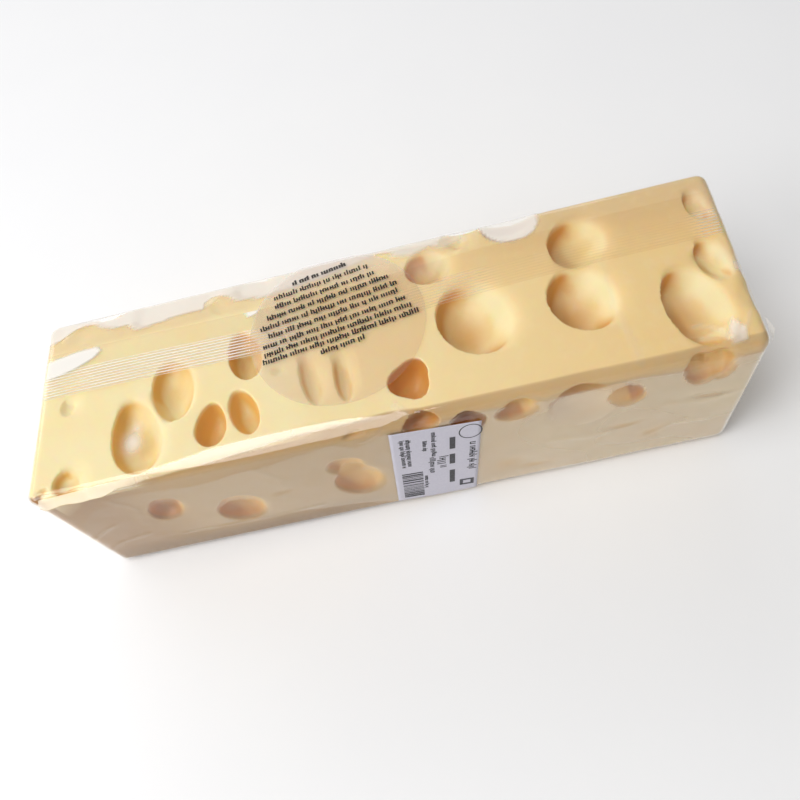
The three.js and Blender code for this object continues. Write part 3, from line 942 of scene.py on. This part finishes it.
def front_band(x, y, z):
    """How plain the pale lip is that the film forms on the left half of the front's upper edge,
    from 0 to 1. Its whiteness is partly a painted highlight."""
    aslant = y - LIP_SLANT * (HEIGHT - z)
    upper, lower = along(LIP, x), along(LIP, x, 2)
    inside = smooth(upper + 0.4, upper - 0.4, aslant) * smooth(lower - 0.35, lower + 0.35, aslant)
    ends = smooth(6, -14, x) * smooth(-100, -86, x)
    return inside * ends * smooth(60, 68, z) * lerp(1, 0.7, smooth(-60, -25, x))


def fold_piece():
    """The pinched fold that carries the lip on to the left end, a little proud of the front."""

    def place(u, v):
        x = lerp(-131.5, -85.5, u)
        upper, lower = along(LIP, x), along(LIP, x, 2)
        tilt = math.tan(math.radians(FOLD_DEGREES))
        wave = 0.25 * np.sin(x / 3.1) + 0.2 * np.sin(x / 1.7 + 1)
        width = (upper - lower + wave) / (1 + LIP_SLANT * tilt) * lerp(0.75, 1, smooth(0, 0.06, u))
        down, back = np.minimum(v / FOLD_TURN, 1), np.clip((v - FOLD_TURN) / (1 - FOLD_TURN), 0, 1)
        y = lerp(upper - width * down, -DEPTH / 2 + 0.1, back)
        z = HEIGHT - 0.06 - tilt * width * down - 2.6 * back
        return np.stack([x, y, z], 1)

    fold, u, v = film("film_fold", 140, 26, place, skin_material())
    x, y, z = places(fold).T
    here = smooth(-86, -100, x)
    mark(fold, "loose", lerp(NO_GLOSS, np.where(v < FOLD_TURN, 0.8, 0.3), here))
    # The fold is whitened like the lip, partly as a painted highlight.
    mark(fold, "milk_and_glare", here * np.where(v < FOLD_TURN, 0.5 + 0.08 * np.sin(x / 4), 0.5))
    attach(fold, "root")
    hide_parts("cheese_block")
    return fold


# ---- the seams ----
SEAM_START = 2.6
SEAM_DRIFT = 6.0
SEAM_RIBBED = 12.0
SEAM_WIDTH = 21.0
SEAM_RIBS = 9
SEAM_LIFT = 0.1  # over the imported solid's top
SEAM_STOPS = 3.5  # short of the bar's ends
RIB = 0.2
END_SEAL = dict(stops=6, height=30, width=12, lift=0.33, ribs=7)
# How white the ribs show along the seam: (x, share).
SEAM_SHOWS = [
    (-140, 1), (-60, 0.95), (-46, 0.75), (-34, 0.35), (-20, 0.12), (24, 0.1), (30, 0.22),
    (42, 0.18), (52, 0.04), (126, 0.04), (130, 0.35), (140, 0.45),
]
# The outlines of white patches on the seam's flap, which paint glare.
SEAM_GLARE_PATCH = [(-137, 19.5), (-130, 21.6), (-120, 23.2), (-111.5, 23.6), (-110, 21.6), (-113, 18.6),
             (-120, 15.6), (-128, 13.4), (-137, 12.4)]
SEAM_GLARE_SPOT = [(-48.5, 23.4), (-45, 23.4), (-42.5, 23), (-44, 21.4), (-47, 20.6)]


def seam_front(x):
    """The seam's front edge, which wanders a little along the bar."""
    return SEAM_START + SEAM_DRIFT * smooth(-30, 110, x) + 0.6 * np.sin(x / 24)


def rib_share(across):
    """1 on the crest of each rib of a crimp, for 0 to 1 across it, and 0 between ribs."""
    return np.clip(np.cos(across * SEAM_RIBS * math.tau) * 2 - 0.4, 0, 1)


def seam_crest(v):
    """1 on the crest of each rib of the seam, for 0 to 1 across it, and 0 elsewhere."""
    ribbed = v * SEAM_WIDTH / SEAM_RIBBED
    return np.where(ribbed < 1, rib_share(ribbed), 0)


def slanted(x, y, z):
    """Places moved along the bar as far as its ends slant."""
    points = np.stack([x, y, z], 1)
    points[:, 0] += slant(points)
    return points


def seam_piece():
    half = LENGTH / 2 - SEAM_STOPS

    def place(u, v):
        x = lerp(-half, half, u)
        y = seam_front(x) + SEAM_WIDTH * v
        ribs = seam_crest(v) * along(SEAM_SHOWS, x)
        flat = np.stack([x, y, np.full_like(x, HEIGHT)], 1)
        shave(flat, along(BACK_FALL, x), BACK_FALL_DEGREES, 1, HEIGHT)
        wave = 0.03 * ripple(flat, 18, 31) * smooth(0.55, 0.7, v)
        return slanted(x, y, flat[:, 2] + SEAM_LIFT + RIB * ribs + wave)

    seam, u, v = film("seam", 240, 180, place, seam_material())
    x, y, z = places(seam).T
    shows = along(SEAM_SHOWS, x) * (1 + 0.15 * ripple(places(seam), 9, 41))
    flap = smooth(0.56, 0.6, v)
    # Painted glare: white patches on the flap that paint a reflection.
    painted_glare = patch(x, y, SEAM_GLARE_PATCH, 0.9) + patch(x, y, SEAM_GLARE_SPOT, 0.6)
    milk_and_glare = shows * (0.08 + 0.9 * seam_crest(v)) * (1 - flap) + 0.95 * painted_glare
    milk_and_glare = milk_and_glare + 0.04 * smooth(40, -20, x) * flap
    mark(seam, "loose", np.full(len(u), 0.0))
    mark(seam, "milk_and_glare", np.clip(milk_and_glare, 0, 0.92))
    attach(seam, "root")
    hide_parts("film_seam")
    return seam


def end_seal_piece(side, name):
    half = DEPTH / 2 - END_SEAL["stops"]

    def place(u, v):
        y = side * lerp(-half, half, u)
        ribs = rib_share(v * END_SEAL["ribs"] / SEAM_RIBS)
        wave = 0.12 * np.sin(y / 6.0) + 0.08 * np.sin(y / 2.7 + 1)
        z = END_SEAL["height"] + END_SEAL["width"] * (v - 0.5) + 1.2 * np.sin(y / 17)
        return slanted(side * (LENGTH / 2 + END_SEAL["lift"] + wave + RIB * ribs), y, z)

    seal, u, v = film(name, 90, 70, place, seam_material())
    mark(seal, "loose", np.full(len(u), 0.6))
    mark(seal, "milk_and_glare", 0.12 + 0.5 * rib_share(v * END_SEAL["ribs"] / SEAM_RIBS))
    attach(seal, "root")
    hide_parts(name.replace("seal", "end_seal"))
    return seal


def ear_piece():
    """The corner of the right end's seal, which stands out past the front's upper edge."""

    def place(u, v):
        y = lerp(-38.5, -29.5, u)
        out = 2.3 * v * np.clip(1 - abs(2 * u - 0.9), 0, 1) ** 0.7
        z = 72.8 + 1.2 * u - 1.5 * v * (1 - u)
        return slanted(LENGTH / 2 - 0.4 + out, y, z)

    ear, u, v = film("seal_corner", 14, 6, place, seam_material())
    mark(ear, "loose", np.full(len(u), 0.6))
    mark(ear, "milk_and_glare", 0.5 + 0.2 * v)
    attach(ear, "root")
    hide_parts("end_seal_right")
    return ear


# ---- the labels ----
ROUND_LABEL = dict(x=-12, y=6.6, radius=34.9)
WEIGHT_LABEL = dict(x=13.3, z=35.6, width=34.2, height=64, turn=math.radians(-7))
LABEL_BEND = 5.0  # the radius that labels follow the bar's edges with
ROUND_LABEL_LIFT = 0.44
WEIGHT_LABEL_LIFT = 0.22
PAPER = 0.12
INK = 0.03
ROUND_PRINT_GAP = 0.07  # between a label and the underside of its print
WEIGHT_PRINT_GAP = 0.01


def over_top(x, y, lift):
    """Places that lie `lift` over the top, at y measured over the rounded back edge."""
    past = np.maximum(y - (DEPTH / 2 - LABEL_BEND), 0)
    angle, radius = past / LABEL_BEND, LABEL_BEND + lift
    back, drop = radius * np.sin(angle), radius * (1 - np.cos(angle))
    place = np.stack([x, y - past + back, HEIGHT + lift - drop], 1)
    shave(place, along(BACK_FALL, x), BACK_FALL_DEGREES, 1, HEIGHT + lift)
    return place


def over_front(x, z, lift):
    """Places that lie `lift` off the front, at z measured round the lower edge."""
    past = np.maximum(LABEL_BEND - z, 0)
    angle, radius = past / LABEL_BEND, LABEL_BEND + lift
    out = radius * np.cos(angle) - LABEL_BEND
    return np.stack([x, -DEPTH / 2 - out, z + past - radius * np.sin(angle)], 1)


def round_label_piece():
    x, y, radius = ROUND_LABEL["x"], ROUND_LABEL["y"], ROUND_LABEL["radius"]

    def place(u, v):
        a, b = 2 * u - 1, 2 * v - 1
        right, back = a * np.sqrt(1 - b * b / 2), b * np.sqrt(1 - a * a / 2)
        return over_top(x + radius * right, y + radius * back, ROUND_LABEL_LIFT)

    label, u, v = film("round_label_film", 64, 64, place, label_film_material())
    rim = np.maximum(abs(2 * u - 1), abs(2 * v - 1))
    across, back, _ = places(label).T
    milk_and_glare = 0.02 + 0.24 * smooth(20, 33, back) + 0.08 * smooth(-10, -38, across)
    mark(label, "loose", -0.5 * smooth(30, 37, back))
    mark(label, "milk_and_glare", milk_and_glare + 0.05 * smooth(0.97, 0.99, rim))
    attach(label, "root")
    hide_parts("round_label")
    return label


def on_weight_label(right, high, lift):
    """Places on the white label, from its middle across and up."""
    cos, sin = math.cos(WEIGHT_LABEL["turn"]), math.sin(WEIGHT_LABEL["turn"])
    x = WEIGHT_LABEL["x"] + right * cos - high * sin
    z = WEIGHT_LABEL["z"] + right * sin + high * cos
    return over_front(x, z, lift)


def weight_label_piece():
    width, height = WEIGHT_LABEL["width"], WEIGHT_LABEL["height"]

    def place(u, v):
        right, high = width * (u - 0.5), height * (v - 0.5)
        return on_weight_label(right, high, WEIGHT_LABEL_LIFT + PAPER)

    label, _, _ = film("weight_label_paper", 24, 60, place, paper_material())
    baked(label, ("SOLIDIFY", {"thickness": PAPER * MM, "offset": -1.0}))
    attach(label, "root")
    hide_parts("weight_label")
    return label


def strokes_piece(name, strokes, lay, material):
    """Flat printed strokes. Each stroke is a ring of four corners, and lay puts corners on the
    label at a height over it."""
    points, faces = [], []
    for ring in strokes:
        ring = np.array(ring, float)
        base = len(points) * 8
        points.append(np.concatenate([lay(ring[:, 0], ring[:, 1], lift) for lift in (0, INK)]))
        low, high = range(base, base + 4), range(base + 4, base + 8)
        faces += [tuple(low)[::-1], tuple(high)]
        faces += [(low[i], low[i - 3], high[i - 3], high[i]) for i in range(4)]
    made = piece(name, np.concatenate(points), faces, material, smooth_faces=False)
    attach(made, "root")
    return made


def bar(start, way, side, length, width):
    """The corners of a stroke that starts at a place and runs along a direction."""
    start, way, side = (np.array(part, float) for part in (start, way, side))
    ends = (start - side * width / 2, start + way * length - side * width / 2)
    return [ends[0], ends[1], ends[1] + side * width, ends[0] + side * width]


def script_row(chance, start, end, size, weight):
    """A row of strokes in groups as long as words, which says nothing."""
    start, end = np.array(start, float), np.array(end, float)
    length = np.linalg.norm(end - start)
    way = (end - start) / length
    up = np.array([-way[1], way[0]])
    strokes, at = [], 0.0
    pitch = size * 0.6
    while at < length - size * 0.5:
        group = min(length - at, size * lerp(1.4, 6.4, next(chance)))
        count = max(1, round(group / pitch))
        for number in range(count):
            foot = start + way * (at + number * pitch)
            tall = next(chance)
            low = -0.35 if tall < 0.12 else 0.0
            high = 1.42 if tall > 0.76 else 1.0
            lean = 0.12 * (next(chance) - 0.5)
            strokes.append(bar(foot + up * size * low, up + way * lean, way,
                               size * (high - low), weight))
            if next(chance) < 0.5 and number + 1 < count:
                level = 0.5 if next(chance) < 0.4 else (0.08 if next(chance) < 0.5 else 0.9)
                strokes.append(bar(foot + up * size * level, way, up, pitch, weight * 0.8))
        at += count * pitch + size * 0.5
    return strokes


# Rows of print on the round label: the start and end of each, in x and y, and the heading's
# size and weight.
ROUND_HEADING = ((-27.3, 30.8), (-4.6, 34.6), 1.8, 0.8)
ROUND_SIZE, ROUND_WEIGHT = 1.7, 0.6
ROUND_ROWS = [
    ((-35.4, 25.3), (4.4, 31.0)),
    ((-35.3, 21.0), (6.5, 26.9)),
    ((-38.8, 16.2), (11.2, 23.4)),
    ((-41.8, 11.6), (15.2, 19.6)),
    ((-38.8, 7.6), (14.0, 15.6)),
    ((-41.3, 3.1), (18.0, 11.7)),
    ((-41.1, -0.6), (18.8, 7.8)),
    ((-41.8, -4.0), (20.8, 4.2)),
    ((-19.0, -4.9), (-1.5, -2.3)),
]


def round_print_piece():
    chance = draws(71)
    strokes = script_row(chance, *ROUND_HEADING)
    for start, end in ROUND_ROWS:
        strokes += script_row(chance, start, end, ROUND_SIZE, ROUND_WEIGHT)

    def lay(x, y, height):
        return over_top(x, y, ROUND_LABEL_LIFT + ROUND_PRINT_GAP + height)

    return strokes_piece("round_label_print", strokes, lay, ink_material())


# Rows of print on the white label, in millimetres across and up from its middle: start, end,
# size and weight.
WEIGHT_ROWS = [
    ((13.2, 15.5), (13.2, -10.5), 2.2, 0.66),
    ((-1.6, 28.5), (-1.6, 8.0), 1.35, 0.5),
    ((-2.6, 7.0), (-2.6, -8.8), 1.7, 0.56),
    ((-5.0, 22.5), (-5.0, 13.5), 1.25, 0.5),
    ((-11.3, 25.6), (-11.3, 1.2), 1.4, 0.52),
    ((-13.6, 25.6), (-13.6, 1.2), 1.4, 0.52),
    ((1.2, 6.6), (1.2, -0.6), 2.6, 0.66),
    ((1.4, -2.0), (1.4, -4.8), 1.9, 0.56),
    ((-5.0, -9.5), (-5.0, -22.0), 1.2, 0.46),
]
BLOCKS = [(6.4, 22.4, 10.0), (6.4, 7.7, 9.0), (6.4, -7.5, 12.5)]  # across, top end, length
BLOCK_WIDTH = 2.2
OVAL = dict(at=(13.2, 25.0), half=(4.0, 5.1), line=0.5, sides=36)
SQUARE = dict(at=(12.6, -22.0), half=3.0, line=1.4)
BAR_CODE = dict(across=(-14.2, -5.6), top=-5.2, end=-30.2, unit=0.25)


def weight_print_piece():
    chance = draws(97)
    strokes = []
    for row in WEIGHT_ROWS:
        strokes += script_row(chance, *row)
    for right, high, length in BLOCKS:
        strokes.append(bar((right, high), (0, -1), (1, 0), length, BLOCK_WIDTH))
    angles = np.linspace(0, math.tau, OVAL["sides"] + 1)
    for start, end in zip(angles, angles[1:]):
        ring = []
        for angle, grow in ((start, 0), (end, 0), (end, OVAL["line"]), (start, OVAL["line"])):
            ring.append((OVAL["at"][0] + (OVAL["half"][0] + grow) * math.cos(angle),
                         OVAL["at"][1] + (OVAL["half"][1] + grow) * math.sin(angle)))
        strokes.append(ring[::-1])
    middle, half, line = np.array(SQUARE["at"]), SQUARE["half"], SQUARE["line"]
    for turn in range(4):
        way = np.array([math.cos(turn * math.pi / 2), math.sin(turn * math.pi / 2)])
        side = np.array([-way[1], way[0]])
        start = middle - way * half + side * (half - line / 2)
        strokes.append(bar(start, way, side, 2 * half - line, line))
    (left, right), unit = BAR_CODE["across"], BAR_CODE["unit"]
    at = BAR_CODE["top"]
    while at > BAR_CODE["end"]:
        thick = unit * (1 + int(next(chance) * 3.2))
        strokes.append(bar((left, at), (1, 0), (0, -1), right - left, thick))
        at -= thick + unit * (1 + int(next(chance) * 2.6))

    def lay(across, up, height):
        lift = WEIGHT_LABEL_LIFT + PAPER + WEIGHT_PRINT_GAP
        return on_weight_label(across, up, lift + height)

    return strokes_piece("weight_label_print", strokes, lay, print_material())


# ---- the studio ----
CAMERA_AT = (0.030252, -0.162516, 0.308575)
CAMERA_RIGHT = (0.97256, -0.14817, -0.17939)
CAMERA_DOWN = (-0.21628, -0.85995, -0.46229)
CAMERA_AHEAD = (-0.08576, 0.48840, -0.86839)
LENS = 33.67
ROOM_LIGHT = 0.3


def camera():
    data = bpy.data.cameras.new("camera")
    data.lens = LENS
    data.sensor_width = 36.0
    data.clip_start = 0.01
    made = bpy.data.objects.new("camera", data)
    columns = [CAMERA_RIGHT, [-part for part in CAMERA_DOWN], [-part for part in CAMERA_AHEAD]]
    turned = Matrix([[column[row] for column in columns] for row in range(3)])
    made.matrix_world = Matrix.LocRotScale(None, turned.to_quaternion(), None)
    made.location = [at + shift * MM for at, shift in zip(CAMERA_AT, MIDDLE)]
    bpy.context.collection.objects.link(made)
    bpy.context.scene.camera = made


def softbox(name, toward, distance, size, radiance, colour=(1, 1, 1), aim=(0, 0, 0.04)):
    """A rectangular lamp that faces the bar, `size` wide and high, with that brightness."""
    toward = np.array(toward, float) / np.linalg.norm(toward)
    data = bpy.data.lights.new(name, "AREA")
    data.shape = "RECTANGLE"
    data.size, data.size_y = size
    data.energy = radiance * size[0] * size[1] * math.pi
    data.color = colour
    made = bpy.data.objects.new(name, data)
    side = np.cross((0, 0, 1), toward)
    side /= np.linalg.norm(side)
    up = np.cross(toward, side)
    turned = Matrix([[part[row] for part in (side, up, toward)] for row in range(3)])
    made.matrix_world = turned.to_4x4()
    made.location = np.array(aim) + toward * distance
    bpy.context.collection.objects.link(made)


def direction(azimuth, elevation):
    """A direction by its angle round from +X and its angle above the floor, in degrees."""
    a, e = math.radians(azimuth), math.radians(elevation)
    return (math.cos(a) * math.cos(e), math.sin(a) * math.cos(e), math.sin(e))


def studio():
    world = bpy.data.worlds.new("room")
    world.use_nodes = True
    background = world.node_tree.nodes["Background"].inputs
    background["Color"].default_value = (1, 1, 1, 1)
    background["Strength"].default_value = ROOM_LIGHT
    bpy.context.scene.world = world
    softbox("overhead_left", (-0.35, -0.16, 0.92), 1.6, (0.95, 0.8), 4.8)
    softbox("low_left", direction(206, 36), 1.1, (0.5, 0.5), 5.2)
    softbox("window_back_left", direction(113, 25), 2.0, (3.0, 0.85), 1.85, (0.98, 0.98, 1.0))
    softbox("front_fill", direction(278, 18), 2.0, (2.4, 1.0), 0.35)
    bpy.ops.mesh.primitive_grid_add(x_subdivisions=8, y_subdivisions=8, size=6)
    floor = bpy.context.object
    floor.name = "floor"
    floor.data.materials.append(floor_material())
    bpy.context.scene.view_settings.view_transform = "Standard"


# ---- all of it ----
camera()
cheese_piece()
film_piece()
fold_piece()
seam_piece()
end_seal_piece(-1, "seal_left")
end_seal_piece(1, "seal_right")
ear_piece()
round_label_piece()
round_print_piece()
weight_label_piece()
weight_print_piece()
studio()
